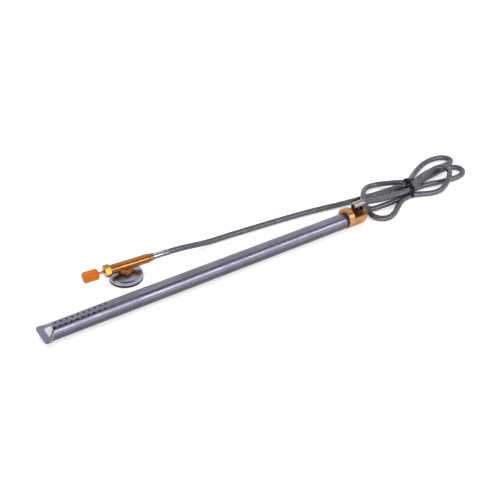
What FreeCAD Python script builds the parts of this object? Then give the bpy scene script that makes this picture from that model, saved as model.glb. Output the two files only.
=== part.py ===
"""Flame sensor probe: a perforated guard tube with a sensing element, a side-entry head, an armoured
lead tied in a hank, and a push-button contact unit on a magnetic foot.

Frame, millimetres: +X runs from the crimped tip to the head, +Y from the tube to the contact unit, +Z up.
The origin is the centre of the footprint of the object without its lead, on the surface it lies on.
"""
import FreeCAD, Part
import math
import os

# Driving dimensions -------------------------------------------------------------------------------------
OVERALL_LENGTH = 351.0          # crimped tip to the nose of the head
LIP_WIDTH = 25.0                # a 16 mm tube pressed flat
FOOT_OFFSET = 43.7              # centre of the foot, sideways from the tube's axis
FOOT_STATION = 103.0            # centre of the foot, from the tip
FOOT_RADIUS = 16.0

TUBE_RADIUS = 8.0
TUBE_WALL = 1.0
TUBE_LENGTH = 324.0
LIP_LENGTH = 5.0
LIP_THICKNESS = 2.2
LIP_CORNER = 4.0
ROUND_STATION = 10.4            # where the crimp has become round again
HOLE_RADIUS = 0.95
HOLE_START = 12.0
HOLE_PITCH = 5.25
HOLES_PER_ROW = 10
HOLE_ANGLES = (-33, 0, 33, 147, 180, 213)     # rows round the tube, degrees from the top

ELEMENT_RADIUS = 3.0
SPACER_STATIONS = (70.0, 160.0, 250.0)
SPACER_LENGTH = 5.0
FIT = 0.05                      # radial clearance of pieces that slide or turn in one another

HEAD_RADIUS = 10.3
HEAD_NOSE = 8.0                 # rounding of the head's closed end
HEAD_FLAT_HEIGHT = 13.5         # the machined seat for the gland, above the surface
COLLAR_LENGTH = 6.5             # full round stretch in front of the seat
BUSH_LENGTH = 18.5
BUSH_IN_HEAD = 5.5
POT_END = 330.2                 # also where the inner lead starts
SEAL_THICKNESS = 1.0

GLAND_STATION = 341.5
STUB_RADIUS = 4.0
STUB_BOTTOM = 10.7
STUB_TOP = 15.0
NUT_RADIUS = 6.2
NUT_RIDGES = 22
NUT_TOP = 17.8
ELBOW_AXIS_HEIGHT = 21.7
ELBOW_RADIUS = 3.6
ELBOW_LEG_RADIUS = 3.0
ELBOW_BACK = 335.2
ELBOW_FRONT = 345.6
ELBOW_RING_END = 348.0

BARREL_HEIGHT = 14.6            # barrel axis above the surface
BARREL_YAW = -3.8               # degrees, towards the tube
BARREL_RADIUS = 4.6
BARREL_BORE = 3.4
BARREL_FRONT = -15.2            # stations along the barrel are measured from the foot's centre
BARREL_REAR = 24.4
BUTTON_FRONT = -41.7
BUTTON_REAR = -27.0
BUTTON_RADIUS = 5.5
BUTTON_TRAVEL = 3.0
STEM_RADIUS = 1.5
BEZEL_FRONT = -20.9
BEZEL_FLATS = 10.6
LEAD_EXIT = 44.0

FOOT_RING_HEIGHT = 2.3
CUP_TOP = 7.8
BOSS_RADIUS = 7.5
BOSS_BOTTOM = 8.4
POST_RADIUS = 2.5

LEAD_RADIUS = 3.0
HANK_HEIGHT = 15.0
CORNER_SHARE = 0.45             # share of the shorter run that each corner's arc uses up

# Derived places -----------------------------------------------------------------------------------------
TIP_X = -OVERALL_LENGTH / 2
TUBE_Y = -(FOOT_OFFSET + FOOT_RADIUS - LIP_WIDTH / 2) / 2
FOOT_X = TIP_X + FOOT_STATION
FOOT_Y = TUBE_Y + FOOT_OFFSET
BORE_RADIUS = TUBE_RADIUS - TUBE_WALL
HEAD_FRONT = TUBE_LENGTH + SEAL_THICKNESS

# Route of the lead, from the contact unit to the hank: (along from the tip, sideways from the tube, height).
RUN_POINTS = [
    (156.5, 40.2, 14.4), (168.0, 42.2, 11.6), (181.0, 45.2, 7.4), (195.0, 47.1, 4.2), (214.0, 47.5, 3.2),
    (238.0, 45.7, 3.2), (268.0, 43.2, 3.2), (299.0, 40.2, 3.2), (328.0, 35.9, 3.2), (353.0, 31.2, 3.2),
    (376.0, 28.6, 3.2),
]
# Route of the lead from the elbow on the head down to the hank.
TAIL_POINTS = [
    (348.0, 0.0, 21.7), (355.5, 0.2, 20.6), (364.5, 1.2, 17.4), (375.0, 3.0, 14.6), (386.0, 4.8, 12.2),
]
# Outline of the tied figure-of-eight hank, same stations.
HANK_OUTLINE = [
    (425.0, 24.0), (444.0, 39.0), (464.0, 51.0), (488.0, 58.0), (509.0, 47.0), (512.0, 28.0), (505.0, 7.0),
    (486.0, 0.5), (466.0, -6.5), (449.0, -11.0), (434.0, -6.0), (421.0, 3.5), (404.0, -3.0), (391.0, -12.0),
    (376.0, -19.5), (361.0, -18.0), (354.0, -6.0), (355.5, 8.0), (366.0, 27.0), (379.0, 42.0), (394.0, 50.0),
    (411.0, 43.0),
]
TIE_STATION = 423.0
TIE_OFFSET = 13.5
TIE_YAW = -20.0
TIE_OPENING = (22.4, 12.8)      # sideways and height
TIE_BAND = 3.0
TIE_THICKNESS = 1.1

X_AXIS = FreeCAD.Vector(1, 0, 0)
Y_AXIS = FreeCAD.Vector(0, 1, 0)
Z_AXIS = FreeCAD.Vector(0, 0, 1)


# Building helpers ---------------------------------------------------------------------------------------
def turned(outline):
    """A solid turned about the X axis from a closed outline of (station, radius) points."""
    points = [FreeCAD.Vector(station, 0, radius) for station, radius in outline]
    return Part.Face(Part.makePolygon(points + points[:1])).revolve(FreeCAD.Vector(), X_AXIS, 360)


def turned_upright(outline):
    """A solid turned about the Z axis from a closed outline of (radius, height) points."""
    points = [FreeCAD.Vector(radius, 0, height) for radius, height in outline]
    return Part.Face(Part.makePolygon(points + points[:1])).revolve(FreeCAD.Vector(), Z_AXIS, 360)


def rod(start, end, radius):
    """A round rod on the X axis."""
    return Part.makeCylinder(radius, end - start, FreeCAD.Vector(start, 0, 0), X_AXIS)


def post(bottom, top, radius):
    """A round rod on the Z axis."""
    return Part.makeCylinder(radius, top - bottom, FreeCAD.Vector(0, 0, bottom), Z_AXIS)


def sleeve(start, end, outer, inner):
    """A plain tube on the X axis."""
    return rod(start, end, outer).cut(rod(start, end, inner))


def washer(bottom, top, outer, inner):
    """A plain ring on the Z axis."""
    return post(bottom, top, outer).cut(post(bottom, top, inner))


def edges_at(shape, along, place):
    """The circular edges of a shape that lie in one plane across an axis, 0 for X and 2 for Z."""
    found = []
    for edge in shape.Edges:
        box = edge.BoundBox
        low, high = ((box.XMin, box.XMax), None, (box.ZMin, box.ZMax))[along]
        if abs(low - place) < 1e-3 and abs(high - place) < 1e-3:
            found.append(edge)
    return found


def on_tube(shape, height=TUBE_RADIUS):
    """Carry a shape built at the tip's station 0 to the guard tube's line, at a height."""
    shape.translate(FreeCAD.Vector(TIP_X, TUBE_Y, height))
    return shape


def on_gland(shape):
    """Carry an upright shape to the gland's axis on the head."""
    shape.translate(FreeCAD.Vector(TIP_X + GLAND_STATION, TUBE_Y, 0))
    return shape


def on_barrel(shape):
    """Turn a shape built along X about the foot's centre into the barrel's line."""
    shape.rotate(FreeCAD.Vector(), Z_AXIS, BARREL_YAW)
    shape.translate(FreeCAD.Vector(FOOT_X, FOOT_Y, BARREL_HEIGHT))
    return shape


def on_foot(shape):
    """Carry an upright shape to the foot's axis."""
    shape.translate(FreeCAD.Vector(FOOT_X, FOOT_Y, 0))
    return shape


def tangent_path(points, closed=False):
    """Straight runs joined by tangent arcs, each as large as its two runs allow; returns edges and radii."""
    count = len(points)
    corners = range(count) if closed else range(1, count - 1)
    edges, radii, last = [], [], points[0]
    first = None
    for i in corners:
        corner = points[i]
        back = points[i - 1] - corner
        ahead = points[(i + 1) % count] - corner
        trim = CORNER_SHARE * min(back.Length, ahead.Length)
        back.normalize()
        ahead.normalize()
        turn = math.pi - back.getAngle(ahead)
        radius = trim / math.tan(turn / 2)
        inward = back + ahead
        inward.normalize()
        start, end = corner + back * trim, corner + ahead * trim
        middle = corner + inward * (radius / math.cos(turn / 2) - radius)
        if closed and first is None:
            first = start
        else:
            edges.append(Part.LineSegment(last, start).toShape())
        edges.append(Part.Arc(start, middle, end).toShape())
        radii.append(radius)
        last = end
    edges.append(Part.LineSegment(last, first if closed else points[-1]).toShape())
    return edges, radii


def swept_tube(name, points, radius):
    """A round tube along a route, with its radii and volume printed against section times length."""
    edges, radii = tangent_path(points)
    path = Part.Wire(edges)
    ring = Part.Wire(Part.makeCircle(radius, points[0], points[1] - points[0]))
    tube = path.makePipeShell([ring], True, False)
    expected = math.pi * radius ** 2 * path.Length
    print(f"{name}: length {path.Length:.1f}, volume {tube.Volume:.0f} of {expected:.0f}, radii",
          " ".join(f"{value:.0f}" for value in radii))
    return tube


def lead_points(stations):
    """Places of the lead's route in the row's frame."""
    return [FreeCAD.Vector(TIP_X + along, TUBE_Y + sideways, height) for along, sideways, height in stations]


# Guard tube and sensing element -------------------------------------------------------------------------
def section_points(station, width, thickness, corner_share):
    """Four pairs of points round a flattened section: top, far, bottom and near stretches."""
    half, rise = width / 2, thickness / 2
    return [FreeCAD.Vector(station, side * half * corner_share, up * rise) for up, side in
            ((1, -1), (1, 1), (-1, 1), (-1, -1))]


def flat_section(station):
    """The pressed-flat section of the tip: two straight walls and two tight folds."""
    a, b, c, d = section_points(station, LIP_WIDTH - LIP_THICKNESS, LIP_THICKNESS, 1.0)
    fold = LIP_WIDTH / 2
    return Part.Wire([
        Part.LineSegment(a, b).toShape(),
        Part.Arc(b, FreeCAD.Vector(station, fold, 0), c).toShape(),
        Part.LineSegment(c, d).toShape(),
        Part.Arc(d, FreeCAD.Vector(station, -fold, 0), a).toShape(),
    ])


def round_section(station):
    """The round section of the tube, split like the flat one so that a ruled loft joins them."""
    spread = math.radians(50)
    across, up = TUBE_RADIUS * math.sin(spread), TUBE_RADIUS * math.cos(spread)
    a, b, c, d = (FreeCAD.Vector(station, y, z) for y, z in
                  ((-across, up), (across, up), (across, -up), (-across, -up)))
    top, bottom = FreeCAD.Vector(station, 0, TUBE_RADIUS), FreeCAD.Vector(station, 0, -TUBE_RADIUS)
    far, near = FreeCAD.Vector(station, TUBE_RADIUS, 0), FreeCAD.Vector(station, -TUBE_RADIUS, 0)
    return Part.Wire([Part.Arc(a, top, b).toShape(), Part.Arc(b, far, c).toShape(),
                      Part.Arc(c, bottom, d).toShape(), Part.Arc(d, near, a).toShape()])


def crimped_lip():
    """The flat lip in front of the crimp, with its two outer corners rounded in plan."""
    flat = Part.Face(flat_section(0)).extrude(FreeCAD.Vector(LIP_LENGTH, 0, 0))
    half = LIP_WIDTH / 2
    plan = Part.makeBox(LIP_LENGTH + LIP_CORNER, LIP_WIDTH, LIP_WIDTH, FreeCAD.Vector(0, -half, -half))
    corners = [edge for edge in plan.Edges
               if edge.BoundBox.XMax < 1e-3 and edge.BoundBox.ZLength > LIP_THICKNESS]
    return flat.common(plan.makeFillet(LIP_CORNER, corners))


def guard_tube():
    """The round tube, its crimped tip, its bore and its rows of small holes."""
    crimp = Part.makeLoft([flat_section(LIP_LENGTH), round_section(ROUND_STATION)], True, True)
    body = crimped_lip().fuse([crimp, rod(ROUND_STATION, TUBE_LENGTH, TUBE_RADIUS)])
    bore = turned([(LIP_LENGTH + 3, 0), (LIP_LENGTH + 3, 1), (ROUND_STATION + 1.2, BORE_RADIUS),
                   (TUBE_LENGTH, BORE_RADIUS), (TUBE_LENGTH, 0)])
    body = body.cut(bore)
    drills = []
    for row, turn in enumerate(HOLE_ANGLES):
        angle = math.radians(turn)
        outward = FreeCAD.Vector(0, -math.sin(angle), math.cos(angle))
        start = HOLE_START + (HOLE_PITCH / 2 if row % 2 else 0)
        for i in range(HOLES_PER_ROW):
            centre = FreeCAD.Vector(start + i * HOLE_PITCH, 0, 0)
            drills.append(Part.makeCylinder(HOLE_RADIUS, TUBE_RADIUS + 1, centre, outward))
    return on_tube(body.cut(drills).removeSplitter())


def sensing_element():
    """The metal-sheathed element, with a domed tip, on the tube's axis."""
    sheath = rod(16, 320, ELEMENT_RADIUS)
    return on_tube(sheath.makeFillet(ELEMENT_RADIUS - 0.2, edges_at(sheath, 0, 16)))


def ceramic_spacers():
    """The ceramic discs that centre the element in the tube."""
    discs = [sleeve(station, station + SPACER_LENGTH, BORE_RADIUS - FIT, ELEMENT_RADIUS + FIT)
             for station in SPACER_STATIONS]
    return on_tube(Part.makeCompound(discs))


def element_pot():
    """The crimped pot behind the element, where its wires join the lead."""
    pot = rod(313.8, POT_END, 4.1).cut(rod(313.8, 320.1, ELEMENT_RADIUS + FIT))
    return on_tube(pot)


def neck_bush():
    """The bush that joins the tube to the head and holds the pot."""
    start = HEAD_FRONT + BUSH_IN_HEAD - BUSH_LENGTH
    return on_tube(sleeve(start, start + BUSH_LENGTH, BORE_RADIUS - FIT, 4.2))


def neck_seal():
    """The fibre ring between the tube's end and the head's face."""
    return on_tube(sleeve(TUBE_LENGTH, HEAD_FRONT, TUBE_RADIUS - 0.1, BORE_RADIUS))


# Head and gland -----------------------------------------------------------------------------------------
def neck_screw_body(radius, length):
    """A radial rod for the head's clamping screw, pointing away from the tube on the far side."""
    return Part.makeCylinder(radius, length, FreeCAD.Vector(HEAD_FRONT + 3.4, BORE_RADIUS - FIT, 0), Y_AXIS)


def head_body():
    """The side-entry head: round collar, flat gland seat, rounded nose, offset bore and wire chamber."""
    turning = rod(HEAD_FRONT, OVERALL_LENGTH, HEAD_RADIUS)
    turning = turning.makeFillet(HEAD_NOSE, edges_at(turning, 0, OVERALL_LENGTH))
    turning = turning.makeChamfer(0.5, edges_at(turning, 0, HEAD_FRONT))
    rise = HEAD_RADIUS - TUBE_RADIUS
    turning.translate(FreeCAD.Vector(0, 0, rise))
    seat = FreeCAD.Vector(HEAD_FRONT + COLLAR_LENGTH, -HEAD_RADIUS, HEAD_FLAT_HEIGHT - TUBE_RADIUS)
    turning = turning.cut(Part.makeBox(30, 2 * HEAD_RADIUS, HEAD_RADIUS, seat))
    entry = post(STUB_BOTTOM - TUBE_RADIUS, HEAD_RADIUS, STUB_RADIUS + 0.03).fuse(post(0, HEAD_RADIUS, 2.3))
    entry.translate(FreeCAD.Vector(GLAND_STATION, 0, 0))
    bush_end = HEAD_FRONT + BUSH_IN_HEAD
    tools = [rod(HEAD_FRONT, bush_end, BORE_RADIUS), rod(bush_end, GLAND_STATION + 3, 3.0), entry,
             neck_screw_body(1.55, 8.0)]
    return on_tube(turning.cut(tools))


def neck_screw():
    """The socket set screw in the collar that clamps the neck bush."""
    screw = neck_screw_body(1.5, 2.9)
    socket = Part.makeCylinder(0.7, 1.4, FreeCAD.Vector(HEAD_FRONT + 3.4, BORE_RADIUS - FIT + 1.5, 0), Y_AXIS)
    return on_tube(screw.cut(socket))


def gland_stub():
    """The threaded stub that carries the gland, hollow for the lead."""
    return on_gland(washer(STUB_BOTTOM, STUB_TOP, STUB_RADIUS, 2.2))


def gland_seal():
    """The rubber washer between the stub and the elbow."""
    return on_gland(washer(STUB_TOP, STUB_TOP + 0.6, STUB_RADIUS - 0.1, 2.2))


def gland_nut():
    """The ridged nut that turns on the stub and holds the elbow down."""
    shoulder = STUB_TOP + 1.6
    nut = turned_upright([
        (STUB_RADIUS + FIT, HEAD_FLAT_HEIGHT + 0.1), (NUT_RADIUS - 0.5, HEAD_FLAT_HEIGHT + 0.1),
        (NUT_RADIUS, HEAD_FLAT_HEIGHT + 0.6), (NUT_RADIUS, NUT_TOP - 0.6), (NUT_RADIUS - 0.6, NUT_TOP),
        (ELBOW_LEG_RADIUS + FIT, NUT_TOP), (ELBOW_LEG_RADIUS + FIT, shoulder), (STUB_RADIUS + FIT, shoulder),
    ])
    grooves = []
    for i in range(NUT_RIDGES):
        angle = 2 * math.pi * i / NUT_RIDGES
        groove = post(HEAD_FLAT_HEIGHT, NUT_TOP + 1, 0.5)
        groove.translate(FreeCAD.Vector(math.cos(angle), math.sin(angle), 0) * (NUT_RADIUS + 0.1))
        grooves.append(groove)
    return on_gland(nut.cut(grooves))


def gland_elbow():
    """The fitting that turns the lead level: flange, upright leg and cross sleeve with a blind back."""
    flange = STUB_TOP + 0.6
    leg = post(flange, flange + 0.95, STUB_RADIUS - 0.1).fuse(post(flange, ELBOW_AXIS_HEIGHT, ELBOW_LEG_RADIUS))
    leg.translate(FreeCAD.Vector(GLAND_STATION, 0, -ELBOW_AXIS_HEIGHT))
    cross = rod(ELBOW_BACK, ELBOW_FRONT, ELBOW_RADIUS)
    cross = cross.makeChamfer(0.5, edges_at(cross, 0, ELBOW_BACK))
    wire_way = post(0, ELBOW_AXIS_HEIGHT - flange, 1.7)
    wire_way.translate(FreeCAD.Vector(GLAND_STATION, 0, flange - ELBOW_AXIS_HEIGHT))
    tools = [wire_way, rod(GLAND_STATION - 1.7, ELBOW_FRONT, 1.7), rod(ELBOW_BACK, ELBOW_BACK + 1.8, 1.6)]
    return on_tube(leg.fuse(cross).cut(tools), ELBOW_AXIS_HEIGHT)


def elbow_ring():
    """The crimped ring that holds the lead's armour at the elbow."""
    ring = turned([(ELBOW_FRONT, 1.7), (ELBOW_FRONT, 3.9), (ELBOW_RING_END - 0.5, 3.9),
                   (ELBOW_RING_END, 3.4), (ELBOW_RING_END, 1.7)])
    return on_tube(ring, ELBOW_AXIS_HEIGHT)


def inner_lead():
    """The insulated pair from the pot up through the stub into the elbow."""
    route = [FreeCAD.Vector(TIP_X + along, TUBE_Y, height) for along, height in
             ((POT_END, 8.0), (GLAND_STATION, 8.0), (GLAND_STATION, 20.4))]
    return swept_tube("inner_lead", route, 1.3)


# Contact unit -------------------------------------------------------------------------------------------
def contact_barrel():
    """The brass barrel: through bore, chamfered ends and a turned groove near its rear."""
    groove = BARREL_REAR - 2.2
    barrel = turned([
        (BARREL_FRONT, BARREL_BORE), (BARREL_FRONT, BARREL_RADIUS - 0.3), (BARREL_FRONT + 0.3, BARREL_RADIUS),
        (groove, BARREL_RADIUS), (groove + 0.3, BARREL_RADIUS - 0.45), (groove + 0.9, BARREL_RADIUS - 0.45),
        (groove + 1.2, BARREL_RADIUS), (BARREL_REAR - 0.4, BARREL_RADIUS), (BARREL_REAR, BARREL_RADIUS - 0.4),
        (BARREL_REAR, BARREL_BORE),
    ])
    return on_barrel(barrel)


def bezel_nut():
    """The hexagonal nut in the barrel's mouth, bored for the stem."""
    corner = BEZEL_FLATS / 2 / math.cos(math.pi / 6)
    hexagon = [FreeCAD.Vector(BEZEL_FRONT, corner * math.cos(i * math.pi / 3), corner * math.sin(i * math.pi / 3))
               for i in range(6)]
    prism = Part.Face(Part.makePolygon(hexagon + hexagon[:1])).extrude(X_AXIS * (BARREL_FRONT - BEZEL_FRONT))
    round_ends = turned([
        (BEZEL_FRONT, 0), (BEZEL_FRONT, corner - 0.9), (BEZEL_FRONT + 0.8, corner),
        (BARREL_FRONT - 0.5, corner), (BARREL_FRONT, corner - 0.6), (BARREL_FRONT, 0),
    ])
    spigot = rod(BARREL_FRONT, -10.0, BARREL_BORE - FIT)
    bore = rod(BEZEL_FRONT, -10.0, STEM_RADIUS + FIT)
    return on_barrel(prism.common(round_ends).fuse(spigot).cut(bore))


def push_button():
    """The amber button, domed in front, with a bore for its core."""
    button = rod(BUTTON_FRONT, BUTTON_REAR, BUTTON_RADIUS)
    button = button.makeFillet(2.2, edges_at(button, 0, BUTTON_FRONT))
    button = button.makeChamfer(1.0, edges_at(button, 0, BUTTON_REAR))
    return on_barrel(button.cut(rod(BUTTON_FRONT + 3.3, BUTTON_REAR, 2.03)))


def button_core():
    """The red core inside the button, which grips the stem."""
    core = rod(BUTTON_FRONT + 3.3, BUTTON_REAR - 0.4, 2.0)
    return on_barrel(core.cut(rod(-33.0, BUTTON_REAR, STEM_RADIUS + 0.02)))


def button_stem():
    """The plunger from the button to the contacts."""
    return on_barrel(rod(-33.0, -2.0, STEM_RADIUS))


def stem_collar():
    """The collar that stops the stem against the bezel's spigot."""
    return on_barrel(sleeve(-9.9, -8.5, 3.2, STEM_RADIUS + 0.02))


def return_spring():
    """The coil spring that pushes the stem back out, six turns of round wire."""
    coil_radius, wire, start, end, turns = 2.4, 0.28, -8.1, 1.6, 6
    helix = Part.makeHelix((end - start) / turns, end - start, coil_radius)
    ring = Part.Wire(Part.makeCircle(wire, FreeCAD.Vector(coil_radius, 0, 0), Y_AXIS))
    spring = Part.Wire(helix.Edges).makePipeShell([ring], True, True)
    spring.rotate(FreeCAD.Vector(), Y_AXIS, 90)
    spring.translate(FreeCAD.Vector(start, 0, 0))
    return on_barrel(spring)


def pin_pair(start, end, radius):
    """Two parallel rods in the contact block."""
    pins = []
    for side in (-1, 1):
        pin = rod(start, end, radius)
        pin.translate(FreeCAD.Vector(0, side * 1.3, 0))
        pins.append(pin)
    return pins


def contact_block():
    """The insulating block that holds the contact pins."""
    return on_barrel(rod(2.0, 13.0, BARREL_BORE - FIT).cut(pin_pair(2.0, 13.0, 0.53)))


def contact_pins():
    """The two contact pins that the stem bridges."""
    return on_barrel(Part.makeCompound(pin_pair(1.2, 15.0, 0.5)))


def union_ring():
    """The dark ring and spigot that close the barrel's rear."""
    ring = turned([
        (17.0, 1.6), (17.0, BARREL_BORE - FIT), (BARREL_REAR, BARREL_BORE - FIT), (BARREL_REAR, 3.8),
        (BARREL_REAR + 2.9, 3.8), (BARREL_REAR + 3.2, 3.5), (BARREL_REAR + 3.2, 1.6),
    ])
    return on_barrel(ring)


def hose_ferrule():
    """The polished tapered ferrule behind the union."""
    start = BARREL_REAR + 3.2
    return on_barrel(turned([(start, 1.6), (start, 3.0), (start + 0.6, 3.5), (38.6, 3.0), (39.2, 2.8),
                             (39.2, 1.6)]))


def ferrule_collar():
    """The thin collar at the ferrule's small end."""
    return on_barrel(turned([(39.2, 1.6), (39.2, 3.2), (39.4, 3.4), (40.0, 3.4), (40.2, 3.2), (40.2, 1.6)]))


def hose_nipple():
    """The bright crimped nipple that the lead's armour leaves from."""
    return on_barrel(turned([(40.2, 1.6), (40.2, 3.1), (43.6, 3.25), (LEAD_EXIT, 3.1), (LEAD_EXIT, 1.6)]))


# Foot ---------------------------------------------------------------------------------------------------
def saddle_boss():
    """The brass boss under the barrel, hollowed to its shape and bored for the post."""
    boss = post(BOSS_BOTTOM, BARREL_HEIGHT - 0.8, BOSS_RADIUS)
    boss = boss.makeFillet(0.8, edges_at(boss, 2, BOSS_BOTTOM))
    boss = on_foot(boss.cut(post(BOSS_BOTTOM, BARREL_HEIGHT, POST_RADIUS + 0.02)))
    return boss.cut(on_barrel(rod(-BOSS_RADIUS - 1, BOSS_RADIUS + 1, BARREL_RADIUS + 0.02)))


def pivot_post():
    """The steel post that the foot turns on."""
    return on_foot(post(3.4, BARREL_HEIGHT - BARREL_RADIUS - 0.1, POST_RADIUS))


def post_clip():
    """The retaining clip under the cup."""
    return on_foot(washer(5.6, 6.4, 3.9, POST_RADIUS + 0.02))


def friction_washer():
    """The spring washer between the cup and the boss."""
    return on_foot(washer(CUP_TOP + 0.05, BOSS_BOTTOM - 0.05, 6.2, POST_RADIUS + FIT))


def foot_cup():
    """The bright cup: upright rim, bevel and shallow cone, hollow below."""
    wall = 1.2
    shoulder, crown = FOOT_RADIUS - 1.2, 8.0
    cup = turned_upright([
        (POST_RADIUS + FIT, CUP_TOP), (crown, CUP_TOP), (shoulder, CUP_TOP - 1.2),
        (FOOT_RADIUS, CUP_TOP - 2.4), (FOOT_RADIUS, FOOT_RING_HEIGHT), (FOOT_RADIUS - wall, FOOT_RING_HEIGHT),
        (FOOT_RADIUS - wall, CUP_TOP - 2.9), (shoulder - wall, CUP_TOP - 2.4), (crown, CUP_TOP - wall),
        (POST_RADIUS + FIT, CUP_TOP - wall),
    ])
    return on_foot(cup)


def foot_magnet():
    """The ring magnet inside the cup."""
    return on_foot(washer(0.8, 4.7, FOOT_RADIUS - 2.0, 4.6))


def foot_ring():
    """The black rubber ring that the foot stands on."""
    ring = washer(0, FOOT_RING_HEIGHT, FOOT_RADIUS, FOOT_RADIUS - 1.6)
    return on_foot(ring.makeFillet(0.5, [edge for edge in edges_at(ring, 2, 0) if edge.Length > 95]))


# Lead ---------------------------------------------------------------------------------------------------
def lead_run():
    """The armoured lead from the contact unit to the hank."""
    exit_point = FreeCAD.Vector(LEAD_EXIT, 0, 0)
    exit_point = FreeCAD.Rotation(Z_AXIS, BARREL_YAW).multVec(exit_point)
    exit_point += FreeCAD.Vector(FOOT_X, FOOT_Y, BARREL_HEIGHT)
    return swept_tube("lead_run", [exit_point] + lead_points(RUN_POINTS), LEAD_RADIUS)


def lead_tail():
    """The armoured lead from the elbow down to the hank."""
    return swept_tube("lead_tail", lead_points(TAIL_POINTS), LEAD_RADIUS)


def lead_hank():
    """The outer shape of the tied hank."""
    outline = [FreeCAD.Vector(TIP_X + along, TUBE_Y + sideways, 0) for along, sideways in HANK_OUTLINE]
    edges, _ = tangent_path(outline, closed=True)
    return Part.Face(Part.Wire(edges)).extrude(Z_AXIS * HANK_HEIGHT)


def hank_tie():
    """The cable tie round the hank, with its lock on top."""
    width, height = TIE_OPENING
    outer = Part.makeBox(TIE_BAND, width + 2 * TIE_THICKNESS, height + TIE_THICKNESS,
                         FreeCAD.Vector(-TIE_BAND / 2, -width / 2 - TIE_THICKNESS, 0))
    outer = outer.makeFillet(4.5, [edge for edge in outer.Edges if edge.BoundBox.XLength > TIE_BAND / 2])
    inner = Part.makeBox(TIE_BAND, width, height - TIE_THICKNESS,
                         FreeCAD.Vector(-TIE_BAND / 2, -width / 2, TIE_THICKNESS))
    inner = inner.makeFillet(3.5, [edge for edge in inner.Edges if edge.BoundBox.XLength > TIE_BAND / 2])
    lock = Part.makeBox(4.2, 4.6, 2.6, FreeCAD.Vector(-2.1, 1.0, height - 0.1))
    tie = outer.cut(inner).fuse(lock)
    tie.rotate(FreeCAD.Vector(), Z_AXIS, TIE_YAW)
    tie.translate(FreeCAD.Vector(TIP_X + TIE_STATION, TUBE_Y + TIE_OFFSET, 0))
    return tie


NODES = [
    guard_tube, sensing_element, ceramic_spacers, element_pot, neck_bush, neck_seal, neck_screw, head_body,
    gland_stub, gland_seal, gland_nut, gland_elbow, elbow_ring, inner_lead, contact_barrel, bezel_nut,
    push_button, button_core, button_stem, stem_collar, return_spring, contact_block, contact_pins,
    union_ring, hose_ferrule, ferrule_collar, hose_nipple, saddle_boss, pivot_post, post_clip,
    friction_washer, foot_cup, foot_magnet, foot_ring, lead_run, lead_tail, lead_hank, hank_tie,
]


def main():
    """Build every node, write its STEP file and print its size."""
    os.makedirs("parts", exist_ok=True)
    for build in NODES:
        shape = build()
        shape.exportStep(f"parts/{build.__name__}.step")
        box = shape.BoundBox
        print(f"{build.__name__}: {len(shape.Solids)} solid(s), valid {shape.isValid()}, "
              f"volume {shape.Volume:.0f}, X {box.XMin:.1f}..{box.XMax:.1f}, "
              f"Y {box.YMin:.1f}..{box.YMax:.1f}, Z {box.ZMin:.1f}..{box.ZMax:.1f}")


main()
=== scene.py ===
import logging
import math
from dataclasses import dataclass, field
from enum import Enum

import bpy
import numpy as np
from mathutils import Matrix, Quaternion, Vector


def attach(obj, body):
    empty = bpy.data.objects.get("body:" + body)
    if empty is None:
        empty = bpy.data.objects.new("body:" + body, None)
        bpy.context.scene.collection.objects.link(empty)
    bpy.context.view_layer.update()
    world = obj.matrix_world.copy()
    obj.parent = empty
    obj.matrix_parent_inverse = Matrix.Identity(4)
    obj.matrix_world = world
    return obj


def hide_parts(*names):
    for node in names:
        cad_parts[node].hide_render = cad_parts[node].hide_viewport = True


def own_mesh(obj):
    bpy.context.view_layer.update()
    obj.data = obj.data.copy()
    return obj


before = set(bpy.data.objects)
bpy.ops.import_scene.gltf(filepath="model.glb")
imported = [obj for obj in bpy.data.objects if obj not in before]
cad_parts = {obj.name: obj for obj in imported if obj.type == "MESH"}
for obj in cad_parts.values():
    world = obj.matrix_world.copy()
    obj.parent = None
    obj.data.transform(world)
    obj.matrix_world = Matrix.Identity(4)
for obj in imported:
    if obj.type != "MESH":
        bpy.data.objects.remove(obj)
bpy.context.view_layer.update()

LOG = logging.getLogger("flame_sensor_probe")
MM = 0.001
TIP_X = -175.5          # place of the tube's tip, in mm
TUBE_Y = -23.6          # place of the tube's axis, in mm

Colour = tuple[float, float, float]
Point = tuple[float, float, float]
Stations = tuple[Point, ...]


class Grain(Enum):
    """Direction in which a finish is drawn out, as stretch factors of its pattern along X, Y and Z."""

    EVEN = (1.0, 1.0, 1.0)
    ALONG = (0.04, 1.0, 1.0)
    TURNED = (1.0, 0.12, 0.12)
    UPRIGHT = (0.25, 0.25, 1.0)


@dataclass(frozen=True)
class Finish:
    """What one material looks like.

    Args:
        name: The material's name.
        light: Colour of the cleaner areas.
        dark: Colour of the handled and shaded areas.
        rough: Lowest and highest roughness.
        metallic: 1 for bare metal, 0 for anything else.
        patches: Tone patches per metre.
        grain: Direction in which the fine marks run.
        marks: Fine marks per metre.
        relief: Height of the fine marks in metres.
        shade: How much painted shade darkens the downward faces.
        clear: Transmission weight of a clear moulding.
        gloss: Specular level.
        sunk: Whether the mesh holds its own relief attribute, which darkens the braid's gaps with painted shade.
    """

    name: str
    light: Colour
    dark: Colour
    rough: tuple[float, float] = (0.25, 0.4)
    metallic: float = 1.0
    patches: float = 90.0
    grain: Grain = Grain.EVEN
    marks: float = 1400.0
    relief: float = 0.00003
    shade: float = 0.0
    clear: float = 0.0
    gloss: float = 0.5
    sunk: bool = False


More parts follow.
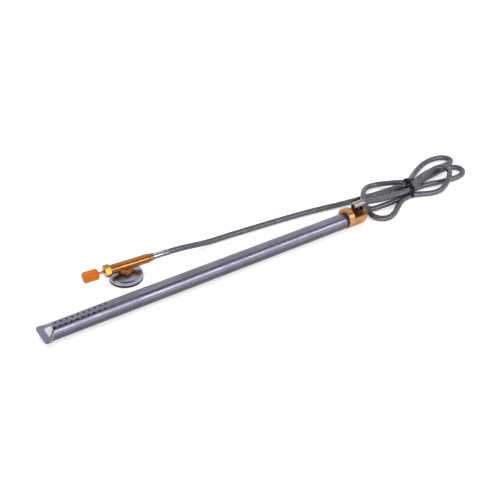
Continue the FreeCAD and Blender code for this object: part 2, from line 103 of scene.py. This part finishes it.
POLISHED_STEEL = Finish("polished_steel", (0.25, 0.24, 0.315), (0.19, 0.182, 0.235), (0.26, 0.35), grain=Grain.ALONG,
                        patches=45.0, relief=0.000005, shade=0.8)
SHEATH_STEEL = Finish("sheath_steel", (0.3, 0.28, 0.26), (0.16, 0.14, 0.13), (0.35, 0.5), grain=Grain.ALONG)
MACHINED_STEEL = Finish("machined_steel", (0.5, 0.5, 0.52), (0.34, 0.34, 0.36), grain=Grain.TURNED)
FITTING_STEEL = Finish("fitting_steel", (0.44, 0.42, 0.42), (0.24, 0.225, 0.22), (0.2, 0.34), grain=Grain.TURNED,
                       relief=0.00001, shade=0.5)
SPRING_STEEL = Finish("spring_steel", (0.4, 0.4, 0.42), (0.22, 0.22, 0.23))
BLACK_STEEL = Finish("black_steel", (0.05, 0.05, 0.055), (0.02, 0.02, 0.022), (0.4, 0.6))
HEAD_BRASS = Finish("head_brass", (0.56, 0.3, 0.14), (0.42, 0.2, 0.08), (0.3, 0.42), grain=Grain.TURNED, shade=0.3)
BARREL_BRASS = Finish("barrel_brass", (0.46, 0.215, 0.08), (0.35, 0.14, 0.045), (0.25, 0.38), grain=Grain.TURNED,
                      relief=0.00001, shade=0.35)
YELLOW_BRASS = Finish("yellow_brass", (0.46, 0.28, 0.07), (0.36, 0.19, 0.045), (0.27, 0.4), grain=Grain.TURNED)
BRONZE_NUT = Finish("bronze_nut", (0.13, 0.065, 0.035), (0.045, 0.025, 0.018), (0.3, 0.5), grain=Grain.UPRIGHT)
BRONZE_RING = Finish("bronze_ring", (0.3, 0.2, 0.14), (0.16, 0.11, 0.08), (0.3, 0.45), grain=Grain.TURNED)
STEM_COPPER = Finish("stem_copper", (0.56, 0.3, 0.2), (0.36, 0.15, 0.1), (0.22, 0.36), grain=Grain.TURNED)
# Near-white metal colour of the painted highlight on the crimp's slope.
PAINTED_TIP_HIGHLIGHT = Finish("bright_facet", (0.78, 0.77, 0.82), (0.6, 0.59, 0.64), (0.2, 0.32), relief=0.00001)
CHROME = Finish("chrome", (0.5, 0.5, 0.55), (0.34, 0.34, 0.39), (0.12, 0.22), grain=Grain.TURNED,
                relief=0.000006, shade=0.6)
CHROME_CUP = Finish("chrome_cup", (0.36, 0.35, 0.44), (0.28, 0.27, 0.34), (0.24, 0.34), relief=0.000008)
MAGNET = Finish("magnet", (0.12, 0.12, 0.13), (0.07, 0.07, 0.08), (0.5, 0.7), metallic=0.0)
CERAMIC = Finish("ceramic", (0.8, 0.77, 0.7), (0.66, 0.62, 0.55), (0.6, 0.8), metallic=0.0)
FIBRE = Finish("fibre", (0.05, 0.045, 0.045), (0.02, 0.02, 0.02), (0.7, 0.9), metallic=0.0)
RUBBER = Finish("rubber", (0.014, 0.012, 0.02), (0.006, 0.005, 0.009), (0.5, 0.7), metallic=0.0,
                marks=2400.0, gloss=0.15)
AMBER = Finish("amber", (0.78, 0.24, 0.012), (0.62, 0.14, 0.006), (0.22, 0.34), metallic=0.0,
               clear=0.2, gloss=0.15)
RED_CORE = Finish("red_core", (0.62, 0.06, 0.02), (0.42, 0.03, 0.012), (0.35, 0.5), metallic=0.0)
WIRE = Finish("wire_insulation", (0.6, 0.58, 0.54), (0.45, 0.43, 0.4), (0.5, 0.7), metallic=0.0)
TIE_PLASTIC = Finish("tie_plastic", (0.012, 0.011, 0.014), (0.005, 0.005, 0.006), (0.4, 0.6),
                     metallic=0.0, gloss=0.15)
LEAD_ARMOUR = Finish("lead_armour", (0.255, 0.243, 0.28), (0.16, 0.152, 0.175), (0.3, 0.44), patches=160.0,
                     shade=0.55, sunk=True)


class NodeTree:
    """A short way of adding and joining nodes in one node tree."""

    def __init__(self, tree: bpy.types.NodeTree) -> None:
        """Keeps the tree that nodes go into."""
        self.tree = tree

    def add(self, kind: str, **settings: object) -> bpy.types.Node:
        """Adds a node.

        Args:
            kind: The node's type name.
            settings: Properties to set on it.

        Returns:
            The new node.
        """
        node = self.tree.nodes.new(kind)
        for key, value in settings.items():
            setattr(node, key, value)
        return node

    def join(self, source: bpy.types.NodeSocket, target: bpy.types.NodeSocket) -> None:
        """Joins an output to an input."""
        self.tree.links.new(source, target)

    def math(self, operation: str, first: object, second: object) -> bpy.types.NodeSocket:
        """Adds a Math node.

        Args:
            operation: The operation's name.
            first: A socket or a number.
            second: A socket or a number.

        Returns:
            The node's output.
        """
        node = self.add("ShaderNodeMath", operation=operation)
        for place, value in enumerate((first, second)):
            if isinstance(value, bpy.types.NodeSocket):
                self.join(value, node.inputs[place])
            else:
                node.inputs[place].default_value = value
        return node.outputs[0]

    def mix(self, factor: bpy.types.NodeSocket, first: object, second: object) -> bpy.types.NodeSocket:
        """Mixes two colours.

        Args:
            factor: How much of the second colour shows.
            first: A socket or a colour.
            second: A socket or a colour.

        Returns:
            The mixed colour.
        """
        node = self.add("ShaderNodeMix", data_type="RGBA")
        self.join(factor, node.inputs[0])
        for place, value in ((6, first), (7, second)):
            if isinstance(value, bpy.types.NodeSocket):
                self.join(value, node.inputs[place])
            else:
                node.inputs[place].default_value = (*value, 1.0)
        return node.outputs[2]


class Effects:
    """The node groups that the materials share."""

    TONE_DETAIL = 5.0
    TONE_ROUGHNESS = 0.6
    TONE_BAND = (0.32, 0.68)        # noise values where a patch begins and is full
    GRAIN_DETAIL = 3.0
    SHADE_BAND = (0.5, -0.05)       # upward part of the normal where the shade begins and is full

    def __init__(self) -> None:
        """Builds each group once."""
        self.tone = self._tone()
        self.grain = self._grain()
        self.shade = self._shade()

    @staticmethod
    def _group(name: str, inputs: dict[str, str], outputs: dict[str, str]) -> tuple[NodeTree, object, object]:
        """Starts a node group.

        Args:
            name: The group's name.
            inputs: Socket type of each input by name.
            outputs: Socket type of each output by name.

        Returns:
            The group's tree, its input node and its output node.
        """
        tree = bpy.data.node_groups.new(name, "ShaderNodeTree")
        for way, sockets in (("INPUT", inputs), ("OUTPUT", outputs)):
            for label, kind in sockets.items():
                tree.interface.new_socket(label, in_out=way, socket_type=kind)
        kit = NodeTree(tree)
        return kit, kit.add("NodeGroupInput"), kit.add("NodeGroupOutput")

    def _tone(self) -> bpy.types.NodeTree:
        """Patches of handling: a mask and the colour that it mixes.

        Returns:
            The group.
        """
        kit, entry, leave = self._group(
            "tone_patches",
            {"Vector": "NodeSocketVector", "Scale": "NodeSocketFloat", "Light": "NodeSocketColor",
             "Dark": "NodeSocketColor"},
            {"Color": "NodeSocketColor", "Mask": "NodeSocketFloat"})
        noise = kit.add("ShaderNodeTexNoise")
        noise.inputs["Detail"].default_value = self.TONE_DETAIL
        noise.inputs["Roughness"].default_value = self.TONE_ROUGHNESS
        kit.join(entry.outputs["Vector"], noise.inputs["Vector"])
        kit.join(entry.outputs["Scale"], noise.inputs["Scale"])
        ramp = kit.add("ShaderNodeMapRange", interpolation_type="SMOOTHSTEP")
        ramp.inputs["From Min"].default_value, ramp.inputs["From Max"].default_value = self.TONE_BAND
        kit.join(noise.outputs["Fac"], ramp.inputs["Value"])
        kit.join(kit.mix(ramp.outputs[0], entry.outputs["Light"], entry.outputs["Dark"]), leave.inputs["Color"])
        kit.join(ramp.outputs[0], leave.inputs["Mask"])
        return kit.tree

    def _grain(self) -> bpy.types.NodeTree:
        """Fine drawn-out marks of turning, drawing or moulding, as a height.

        Returns:
            The group.
        """
        kit, entry, leave = self._group(
            "fine_marks",
            {"Vector": "NodeSocketVector", "Stretch": "NodeSocketVector", "Scale": "NodeSocketFloat"},
            {"Height": "NodeSocketFloat"})
        drawn = kit.add("ShaderNodeVectorMath", operation="MULTIPLY")
        kit.join(entry.outputs["Vector"], drawn.inputs[0])
        kit.join(entry.outputs["Stretch"], drawn.inputs[1])
        noise = kit.add("ShaderNodeTexNoise")
        noise.inputs["Detail"].default_value = self.GRAIN_DETAIL
        kit.join(drawn.outputs[0], noise.inputs["Vector"])
        kit.join(entry.outputs["Scale"], noise.inputs["Scale"])
        kit.join(noise.outputs["Fac"], leave.inputs["Height"])
        return kit.tree

    def _shade(self) -> bpy.types.NodeTree:
        """A mask of the faces that look down, where painted shade darkens the colour.

        Returns:
            The group.
        """
        kit, entry, leave = self._group("underside", {"Amount": "NodeSocketFloat"}, {"Mask": "NodeSocketFloat"})
        place = kit.add("ShaderNodeNewGeometry")
        split = kit.add("ShaderNodeSeparateXYZ")
        kit.join(place.outputs["Normal"], split.inputs[0])
        ramp = kit.add("ShaderNodeMapRange", interpolation_type="SMOOTHSTEP")
        ramp.inputs["From Min"].default_value, ramp.inputs["From Max"].default_value = self.SHADE_BAND
        kit.join(split.outputs["Z"], ramp.inputs["Value"])
        kit.join(kit.math("MULTIPLY", ramp.outputs[0], entry.outputs["Amount"]), leave.inputs["Mask"])
        return kit.tree


class Paintshop:
    """Makes each finish into a material, once."""

    BUMP_STRENGTH = 0.35
    PAINTED_SHADE_LEVEL = 0.3                 # brightness of the painted shade against the finish's dark colour
    # colour of the painted shade in the braid's gaps
    PAINTED_GAP_SHADE: Colour = (0.1, 0.097, 0.108)
    BODY_IOR = 1.49

    def __init__(self, effects: Effects) -> None:
        """Keeps the shared effects and starts with no materials."""
        self.effects = effects
        self.made: dict[str, bpy.types.Material] = {}

    def material(self, finish: Finish) -> bpy.types.Material:
        """The material of a finish.

        Args:
            finish: What it looks like.

        Returns:
            The material, the same one each time.
        """
        if finish.name not in self.made:
            self.made[finish.name] = self._mix(finish)
        return self.made[finish.name]

    def _mix(self, finish: Finish) -> bpy.types.Material:
        """Builds the material of a finish.

        Args:
            finish: What it looks like.

        Returns:
            The new material.
        """
        material = bpy.data.materials.new(finish.name + "_finish")
        material.use_nodes = True
        kit = NodeTree(material.node_tree)
        shader = material.node_tree.nodes["Principled BSDF"]
        shader.inputs["Metallic"].default_value = finish.metallic
        shader.inputs["Specular IOR Level"].default_value = finish.gloss
        shader.inputs["Transmission Weight"].default_value = finish.clear
        shader.inputs["IOR"].default_value = self.BODY_IOR
        place = kit.add("ShaderNodeTexCoord").outputs["Object"]

        tone = kit.add("ShaderNodeGroup", node_tree=self.effects.tone)
        tone.inputs["Scale"].default_value = finish.patches
        tone.inputs["Light"].default_value = (*finish.light, 1.0)
        tone.inputs["Dark"].default_value = (*finish.dark, 1.0)
        kit.join(place, tone.inputs["Vector"])
        colour = tone.outputs["Color"]

        # Painted shade: faces that look down are mixed towards a darker copy of the dark colour.
        if finish.shade:
            shade = kit.add("ShaderNodeGroup", node_tree=self.effects.shade)
            shade.inputs["Amount"].default_value = finish.shade
            colour = kit.mix(shade.outputs["Mask"], colour, tuple(value * self.PAINTED_SHADE_LEVEL for value in finish.dark))

        rough = kit.add("ShaderNodeMapRange")
        rough.inputs["To Min"].default_value = finish.rough[0]
        rough.inputs["To Max"].default_value = finish.rough[1]
        kit.join(tone.outputs["Mask"], rough.inputs["Value"])
        kit.join(rough.outputs[0], shader.inputs["Roughness"])

        grain = kit.add("ShaderNodeGroup", node_tree=self.effects.grain)
        grain.inputs["Stretch"].default_value = finish.grain.value
        grain.inputs["Scale"].default_value = finish.marks
        kit.join(place, grain.inputs["Vector"])
        bump = kit.add("ShaderNodeBump")
        bump.inputs["Strength"].default_value = self.BUMP_STRENGTH
        bump.inputs["Distance"].default_value = finish.relief
        kit.join(grain.outputs["Height"], bump.inputs["Height"])
        kit.join(bump.outputs["Normal"], shader.inputs["Normal"])

        # Painted shade: where the braid's relief is low, in its gaps, the colour is mixed towards a dark gap colour.
        if finish.sunk:
            relief = kit.add("ShaderNodeAttribute", attribute_name="relief")
            colour = kit.mix(kit.math("SUBTRACT", 1.0, relief.outputs["Fac"]), colour, self.PAINTED_GAP_SHADE)
        kit.join(colour, shader.inputs["Base Color"])
        return material

    def dress(self, piece: bpy.types.Object, finish: Finish) -> None:
        """Puts a finish on every slot of a piece.

        Args:
            piece: The object to dress.
            finish: Its finish.
        """
        material = self.material(finish)
        if not piece.material_slots:
            piece.data.materials.append(material)
        for place in piece.material_slots:
            place.link = "OBJECT"
            place.material = material

    def dress_node(self, name: str, finish: Finish) -> None:
        """Puts a finish on a piece of the frame.

        Args:
            name: The piece's name.
            finish: Its finish.
        """
        self.dress(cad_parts[name], finish)
        LOG.info("%s wears %s", name, finish.name)


@dataclass
class Assembly:
    """A sub-assembly whose shapes come from the frame and which this script dresses."""

    finishes: dict[str, Finish] = field(default_factory=dict)

    def build(self, paint: Paintshop) -> None:
        """Dresses the sub-assembly's pieces.

        Args:
            paint: Where the materials come from.
        """
        for name, finish in self.finishes.items():
            paint.dress_node(name, finish)


@dataclass
class Probe(Assembly):
    """The guard tube with its element, spacers, pot and neck."""

    finishes: dict[str, Finish] = field(default_factory=lambda: {
        "guard_tube": POLISHED_STEEL, "sensing_element": SHEATH_STEEL, "ceramic_spacers": CERAMIC,
        "element_pot": MACHINED_STEEL, "neck_bush": MACHINED_STEEL, "neck_seal": FIBRE,
        "neck_screw": BLACK_STEEL})


@dataclass
class TipHighlight:
    """A thin D-shaped plate in a near-white metal colour on the slope of the tube's crimp: a painted highlight."""

    slope_start: float = 5.0
    slope_end: float = 10.4
    lip_half: float = 11.4
    lip_height: float = 9.1
    tube_radius: float = 8.0
    spread: float = 50.0            # degrees each side of the top where the slope ends
    thickness: float = 0.16
    half_width: float = 0.56
    centre: float = -0.08
    lean: float = -0.4
    first_up: float = 0.03          # share of the slope below the facet
    last_up: float = 0.97
    least_width: float = 0.02       # squared share of the width left at the top
    rim_sink: float = 0.3           # how far the rim dips into the slope, in thicknesses
    probe_step: float = 0.01        # step that finds the slope's direction
    rows: int = 14
    columns: int = 18

    def surface(self, across: float, up: float) -> Vector:
        """A point of the crimp's slope, in mm from the tip.

        Args:
            across: Place across the slope, -1 to 1.
            up: Place up the slope, 0 to 1.

        Returns:
            The point.
        """
        turn = math.radians(self.spread) * across
        low = Vector((self.slope_start, self.lip_half * across, self.lip_height))
        high = Vector((self.slope_end, self.tube_radius * math.sin(turn), self.tube_radius * (1 + math.cos(turn))))
        return low.lerp(high, up)

    def outward(self, across: float, up: float) -> Vector:
        """The direction that the crimp's slope faces.

        Args:
            across: Place across the slope, -1 to 1.
            up: Place up the slope, 0 to 1.

        Returns:
            A unit vector.
        """
        point = self.surface(across, up)
        normal = (self.surface(across + self.probe_step, up) - point).cross(
            self.surface(across, up + self.probe_step) - point)
        return -normal.normalized() if normal.z < 0 else normal.normalized()

    def build(self, paint: Paintshop) -> bpy.types.Object:
        """Builds and dresses the plate of painted highlight.

        Args:
            paint: Where the materials come from.

        Returns:
            The facet's object.
        """
        points, faces = [], []
        for row in range(self.rows + 1):
            up = self.first_up + (self.last_up - self.first_up) * row / self.rows
            half = self.half_width * math.sqrt(max(1.0 - up ** 2, self.least_width))
            for column in range(self.columns + 1):
                side = 2.0 * column / self.columns - 1.0
                across = self.centre + self.lean * up + half * side
                point = self.surface(across, up)
                rim = row in (0, self.rows) or column in (0, self.columns)
                point += self.outward(across, up) * (self.thickness * (-self.rim_sink if rim else 1.0))
                points.append(((TIP_X + point.x) * MM, (TUBE_Y + point.y) * MM, point.z * MM))
        width = self.columns + 1
        for row in range(self.rows):
            for column in range(self.columns):
                corner = row * width + column
                faces.append((corner, corner + width, corner + width + 1, corner + 1))
        mesh = bpy.data.meshes.new("tip_facet")
        mesh.from_pydata(points, [], faces)
        mesh.shade_smooth()
        piece = bpy.data.objects.new("tip_facet", mesh)
        bpy.context.scene.collection.objects.link(piece)
        paint.dress(piece, PAINTED_TIP_HIGHLIGHT)
        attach(piece, "root")
        LOG.info("tip_facet built")
        return piece


@dataclass
class Head(Assembly):
    """The side-entry head with its gland, nut and elbow."""

    finishes: dict[str, Finish] = field(default_factory=lambda: {
        "head_body": HEAD_BRASS, "gland_stub": MACHINED_STEEL, "gland_seal": RUBBER, "gland_nut": BRONZE_NUT,
        "gland_elbow": FITTING_STEEL, "elbow_ring": FITTING_STEEL, "inner_lead": WIRE})


@dataclass
class ContactUnit(Assembly):
    """The push-button barrel on its magnetic foot."""

    finishes: dict[str, Finish] = field(default_factory=lambda: {
        "contact_barrel": BARREL_BRASS, "bezel_nut": YELLOW_BRASS, "push_button": AMBER, "button_core": RED_CORE,
        "button_stem": STEM_COPPER, "stem_collar": MACHINED_STEEL,
        "contact_block": CERAMIC, "contact_pins": MACHINED_STEEL, "union_ring": BRONZE_RING,
        "hose_ferrule": CHROME, "ferrule_collar": CHROME, "hose_nipple": FITTING_STEEL,
        "saddle_boss": BARREL_BRASS, "pivot_post": MACHINED_STEEL, "post_clip": SPRING_STEEL,
        "friction_washer": SPRING_STEEL, "foot_cup": CHROME_CUP, "foot_magnet": MAGNET, "foot_ring": RUBBER})


@dataclass
class ReturnSpring:
    """The coil spring behind the button's stem."""

    yaw: float = -3.8               # the barrel's turn, degrees
    foot: tuple[float, float] = (-72.5, 20.1)
    height: float = 14.6
    seat: float = 1.88              # the fixed end, along the barrel from the foot's centre
    length: float = 10.26
    travel: float = 3.0

    def build(self, paint: Paintshop) -> bpy.types.Object:
        """Makes a dressed copy of the spring, with its own mesh, in place of the frame's one.

        Args:
            paint: Where the materials come from.

        Returns:
            The spring's object.
        """
        piece = bpy.data.objects.new("coil_spring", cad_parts["return_spring"].data.copy())
        bpy.context.scene.collection.objects.link(piece)
        paint.dress(piece, SPRING_STEEL)
        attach(piece, "root")
        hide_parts("return_spring")
        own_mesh(piece)
        LOG.info("coil_spring built")
        return piece


@dataclass
class Lead:
    """The armoured lead: one length from the contact unit, through the tied hank, to the elbow."""

    diameter: float = 6.0
    length: float = 1.156           # real length, in metres
    line_steps: int = 16            # points read from the spline between two of its own
    step: float = 0.42              # spacing of the tube's rings
    sides: int = 24
    strands: int = 6                # braid strands each way
    strand_pitch: float = 3.6       # spacing of the strands along the lead
    weave_depth: float = 0.18
    exit_point: tuple[float, float, float] = (146.903, 40.784, 14.6)
    run: Stations = (
        (156.5, 40.2, 14.4), (168.0, 42.2, 11.6), (181.0, 45.2, 7.4), (195.0, 47.1, 4.2), (214.0, 47.5, 3.2),
        (238.0, 45.7, 3.2), (268.0, 43.2, 3.2), (299.0, 40.2, 3.2), (328.0, 35.9, 3.2), (353.0, 31.2, 3.2))
    hank: Stations = (
        (388.0, 27.6, 3.2), (400.5, 26.4, 3.6), (411.5, 22.8, 6.2), (421.5, 17.2, 8.8), (432.5, 16.0, 8.6),
        (445.0, 18.8, 5.8), (458.5, 23.2, 3.6), (472.0, 26.2, 3.2), (485.0, 27.6, 3.2), (496.0, 26.8, 3.2),
        (503.2, 21.0, 3.2), (502.0, 12.6, 3.2), (493.0, 7.0, 3.2), (480.0, 6.6, 3.2), (466.5, 8.8, 3.2),
        (452.5, 12.2, 3.2), (439.0, 14.0, 3.2), (427.0, 12.6, 3.2), (414.5, 9.4, 3.2), (402.0, 6.4, 3.2),
        (390.0, 6.4, 3.2), (378.5, 6.4, 3.2), (368.5, 6.6, 3.2), (362.0, 13.4, 3.2), (366.8, 21.0, 3.2),
        (378.5, 22.8, 3.2), (392.5, 21.2, 3.2), (405.0, 20.4, 3.2), (417.0, 19.4, 3.2), (429.0, 20.4, 3.2),
        (442.0, 24.8, 3.2), (456.0, 29.8, 3.2), (470.0, 33.0, 3.2), (483.5, 34.0, 3.2), (495.5, 33.2, 3.2),
        (505.5, 35.2, 3.2), (508.2, 42.4, 3.2), (502.0, 49.2, 3.2), (489.0, 51.6, 3.2), (475.0, 48.8, 3.2),
        (462.5, 43.6, 3.2), (452.0, 37.8, 3.4), (443.0, 31.4, 5.4), (434.5, 25.0, 8.0), (426.0, 21.6, 9.0),
        (418.5, 26.4, 9.0), (411.0, 35.0, 6.0), (401.5, 42.6, 3.8), (389.5, 43.0, 4.2), (379.0, 35.0, 7.8),
        (371.0, 26.8, 9.9), (364.8, 19.0, 9.9), (360.6, 10.0, 8.4), (358.4, 0.0, 4.4), (361.0, -10.0, 3.2),
        (371.0, -15.6, 3.2), (383.0, -11.4, 3.2), (393.0, -4.2, 3.2), (402.0, 2.0, 3.2), (411.0, 5.0, 3.2),
        (421.0, 5.8, 3.2), (432.0, 1.0, 3.2), (443.0, -3.8, 3.2), (454.0, -5.0, 4.6), (463.5, -1.4, 8.4),
        (472.5, 4.8, 9.9), (481.0, 13.0, 9.9), (482.5, 22.0, 9.6), (474.5, 27.4, 9.4), (461.0, 24.2, 9.3),
        (446.5, 17.6, 9.3), (431.0, 10.6, 9.3), (419.0, 7.4, 9.4), (406.0, 6.8, 9.8), (396.0, 5.8, 11.2),
    )
    tail: Stations = (
        (386.0, 4.8, 12.2), (375.0, 3.0, 14.6), (364.5, 1.2, 17.4), (355.5, 0.2, 20.6), (348.0, 0.0, 21.7))

    def route(self) -> np.ndarray:
        """Reads the lead's line from its route's smooth spline.

        Returns:
            Points along the line, in metres.
        """
        stations = (self.exit_point, *self.run, *self.hank, *self.tail)
        curve = bpy.data.curves.new("lead_line", "CURVE")
        curve.dimensions = "3D"
        curve.resolution_u = self.line_steps
        spline = curve.splines.new("NURBS")
        spline.points.add(len(stations) - 1)
        for point, (along, sideways, height) in zip(spline.points, stations):
            point.co = ((TIP_X + along) * MM, (TUBE_Y + sideways) * MM, height * MM, 1.0)
        spline.order_u = 3
        spline.use_endpoint_u = True
        holder = bpy.data.objects.new("lead_line", curve)
        mesh = bpy.data.meshes.new_from_object(holder)
        line = np.array([vertex.co[:] for vertex in mesh.vertices])
        bpy.data.objects.remove(holder)
        bpy.data.meshes.remove(mesh)
        return line

    def rings(self, line: np.ndarray) -> tuple[np.ndarray, np.ndarray, np.ndarray, np.ndarray]:
        """Spaces the rings evenly along the line and carries a frame along it without twist.

        Args:
            line: Points along the lead.

        Returns:
            The rings' centres, their two cross directions and their distances along the lead.
        """
        distance = np.concatenate(([0.0], np.cumsum(np.linalg.norm(np.diff(line, axis=0), axis=1))))
        count = int(distance[-1] / (self.step * MM))
        along = np.linspace(0.0, distance[-1], count)
        centres = np.stack([np.interp(along, distance, line[:, axis]) for axis in range(3)], axis=1)
        tangents = np.gradient(centres, axis=0)
        tangents /= np.linalg.norm(tangents, axis=1)[:, None]
        across = np.zeros_like(centres)
        current = np.cross(tangents[0], (0.0, 0.0, 1.0))
        for place, tangent in enumerate(tangents):
            current = current - tangent * current.dot(tangent)
            current /= np.linalg.norm(current)
            across[place] = current
        return centres, across, np.cross(tangents, across), along

    def weave(self, along: np.ndarray, angle: np.ndarray) -> np.ndarray:
        """Height of the braid round each ring, from 0 in a gap to 1 on a strand.

        Args:
            along: Each ring's distance along the lead.
            angle: The places round a ring, in radians.

        Returns:
            One row of heights for each ring.
        """
        turns = 2.0 * math.pi * along[:, None] / (self.strand_pitch * MM)
        left = np.sin(turns + self.strands * angle[None, :])
        right = np.sin(turns - self.strands * angle[None, :])
        crossing = np.where(left * right > 0, np.maximum(left, right), left * right)
        return np.clip(0.5 + 0.5 * crossing, 0.0, 1.0)

    def tube(self, line: np.ndarray) -> bpy.types.Object:
        """Builds the braided armour as a mesh tube.

        Args:
            line: Points along the lead.

        Returns:
            The lead's object.
        """
        centres, across, upward, along = self.rings(line)
        angle = np.linspace(0.0, 2.0 * math.pi, self.sides, endpoint=False)
        relief = self.weave(along, angle)
        radius = (self.diameter / 2 - self.weave_depth * (1.0 - relief)) * MM
        spokes = (np.cos(angle)[None, :, None] * across[:, None, :]
                  + np.sin(angle)[None, :, None] * upward[:, None, :])
        points = (centres[:, None, :] + radius[..., None] * spokes).reshape(-1, 3)
        count = len(centres)
        ring = np.arange(count - 1)[:, None] * self.sides
        side = np.arange(self.sides)[None, :]
        following = (side + 1) % self.sides
        faces = np.stack([ring + side, ring + following, ring + self.sides + following, ring + self.sides + side],
                         axis=-1).reshape(-1, 4)
        ends = [list(range(self.sides))[::-1], list(range((count - 1) * self.sides, count * self.sides))]
        mesh = bpy.data.meshes.new("armoured_lead")
        mesh.from_pydata(points.tolist(), [], faces.tolist() + ends)
        mesh.attributes.new("relief", "FLOAT", "POINT").data.foreach_set("value", relief.astype(np.float32).ravel())
        mesh.shade_smooth()
        piece = bpy.data.objects.new("armoured_lead", mesh)
        bpy.context.scene.collection.objects.link(piece)
        return piece

    def build(self, paint: Paintshop) -> bpy.types.Object:
        """Args:
            paint: Where the materials come from.

        Returns:
            The lead's object.
        """
        line = self.route()
        piece = self.tube(line)
        paint.dress(piece, LEAD_ARMOUR)
        paint.dress_node("hank_tie", TIE_PLASTIC)
        measured = float(np.linalg.norm(np.diff(line, axis=0), axis=1).sum())
        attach(piece, "root")
        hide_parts("lead_run", "lead_tail", "lead_hank")
        LOG.info("armoured_lead is %.3f m long", measured)
        return piece


@dataclass
class Studio:
    """The floor, the lights, the white surroundings and the camera."""

    eye: tuple[float, float, float] = (-0.3557, -0.6221, 0.5165)
    aim: tuple[float, float, float] = (0.03681, -0.0236, 0.0154)
    lens: float = 66.6
    sensor: float = 36.0
    floor_size: float = 6.0
    floor_colour: Colour = (0.9, 0.9, 0.9)
    floor_roughness: float = 0.9
    card_colour: Colour = (0.03, 0.03, 0.035)
    card_corners: Stations = (
        (-1.6, -0.95, 1.15), (1.8, -1.15, 0.8), (1.8, -0.45, 1.35), (-1.6, -0.3, 1.6))
    floor_glow: float = 0.42
    fill: float = 0.62

    @staticmethod
    def _seen(kit: NodeTree) -> bpy.types.NodeSocket:
        """Tells the rays that show the surroundings: camera, glossy and transmission rays.

        Args:
            kit: The tree that the nodes go into.

        Returns:
            1 for those rays and 0 for the others.
        """
        path = kit.add("ShaderNodeLightPath")
        seen = kit.math("MAXIMUM", path.outputs["Is Camera Ray"], path.outputs["Is Glossy Ray"])
        return kit.math("MAXIMUM", seen, path.outputs["Is Transmission Ray"])

    def floor(self) -> None:
        """Lays the plain white floor, which keeps the shadow."""
        half = self.floor_size / 2
        mesh = bpy.data.meshes.new("floor")
        mesh.from_pydata([(-half, -half, 0), (half, -half, 0), (half, half, 0), (-half, half, 0)], [], [(0, 1, 2, 3)])
        piece = bpy.data.objects.new("floor", mesh)
        bpy.context.scene.collection.objects.link(piece)
        material = bpy.data.materials.new("white_floor")
        material.use_nodes = True
        kit = NodeTree(material.node_tree)
        shader = material.node_tree.nodes["Principled BSDF"]
        shader.inputs["Base Color"].default_value = (*self.floor_colour, 1.0)
        shader.inputs["Roughness"].default_value = self.floor_roughness
        shader.inputs["Specular IOR Level"].default_value = 0.0
        shader.inputs["Emission Color"].default_value = (1.0, 1.0, 1.0, 1.0)
        kit.join(kit.math("MULTIPLY", self._seen(kit), self.floor_glow), shader.inputs["Emission Strength"])
        mesh.materials.append(material)

    def surroundings(self) -> None:
        """White where it is seen, and an even soft fill elsewhere."""
        world = bpy.data.worlds.new("surroundings")
        world.use_nodes = True
        kit = NodeTree(world.node_tree)
        back = world.node_tree.nodes["Background"]
        back.inputs["Color"].default_value = (1.0, 1.0, 1.0, 1.0)
        kit.join(kit.math("MAXIMUM", self._seen(kit), self.fill), back.inputs["Strength"])
        bpy.context.scene.world = world

    def lamp(self, name: str, place: Point, aim: Point, size: tuple[float, float], power: float,
             roll: float = 0.0, mirrored: bool = True) -> None:
        """Adds a soft rectangular lamp.

        Args:
            name: The lamp's name.
            place: Where it stands.
            aim: What it points at.
            size: Its two sides.
            power: Its power in watts.
            roll: Its turn about the line to what it points at, in degrees.
            mirrored: Whether polished surfaces show it.
        """
        data = bpy.data.lights.new(name, "AREA")
        data.shape = "RECTANGLE"
        data.size, data.size_y = size
        data.energy = power
        lamp = bpy.data.objects.new(name, data)
        lamp.location = place
        turn = Quaternion((0.0, 0.0, 1.0), math.radians(roll))
        lamp.rotation_euler = ((Vector(aim) - Vector(place)).to_track_quat("-Z", "Y") @ turn).to_euler()
        lamp.visible_glossy = mirrored
        bpy.context.scene.collection.objects.link(lamp)

    def card(self, name: str, corners: Stations) -> None:
        """Adds a dark studio card that only reflections show.

        Args:
            name: The card's name.
            corners: Its four corners.
        """
        mesh = bpy.data.meshes.new(name)
        mesh.from_pydata(corners, [], [(0, 1, 2, 3)])
        material = bpy.data.materials.new(name)
        material.use_nodes = True
        shader = material.node_tree.nodes["Principled BSDF"]
        shader.inputs["Base Color"].default_value = (*self.card_colour, 1.0)
        shader.inputs["Roughness"].default_value = 1.0
        mesh.materials.append(material)
        piece = bpy.data.objects.new(name, mesh)
        piece.visible_camera = False
        piece.visible_diffuse = False
        piece.visible_shadow = False
        piece.visible_transmission = False
        bpy.context.scene.collection.objects.link(piece)

    def camera(self) -> None:
        """Sets up the camera."""
        data = bpy.data.cameras.new("camera")
        data.lens = self.lens
        data.sensor_width = self.sensor
        camera = bpy.data.objects.new("camera", data)
        camera.location = self.eye
        camera.rotation_euler = (Vector(self.aim) - Vector(self.eye)).to_track_quat("-Z", "Y").to_euler()
        bpy.context.scene.collection.objects.link(camera)
        bpy.context.scene.camera = camera

    def build(self) -> None:
        """Sets up the whole studio."""
        bpy.context.scene.view_settings.view_transform = "Standard"
        self.floor()
        self.surroundings()
        self.lamp("key", (0.1, 0.3, 1.6), (0.0, 0.0, 0.0), (1.8, 0.7), 14.0, mirrored=False)
        self.lamp("strip", (0.3, -1.2, 0.62), (0.0, 0.0, 0.0), (2.6, 0.36), 12.5, roll=14.0)
        self.card("flag", self.card_corners)
        self.camera()
        LOG.info("studio ready")


def main() -> None:
    """Builds the sub-assemblies in order."""
    logging.basicConfig(level=logging.INFO, format="%(name)s: %(message)s")
    paint = Paintshop(Effects())
    Lead().build(paint)
    for assembly in (Probe(), Head(), ContactUnit()):
        assembly.build(paint)
    TipHighlight().build(paint)
    ReturnSpring().build(paint)
    Studio().build()


if __name__ == "__main__":
    main()
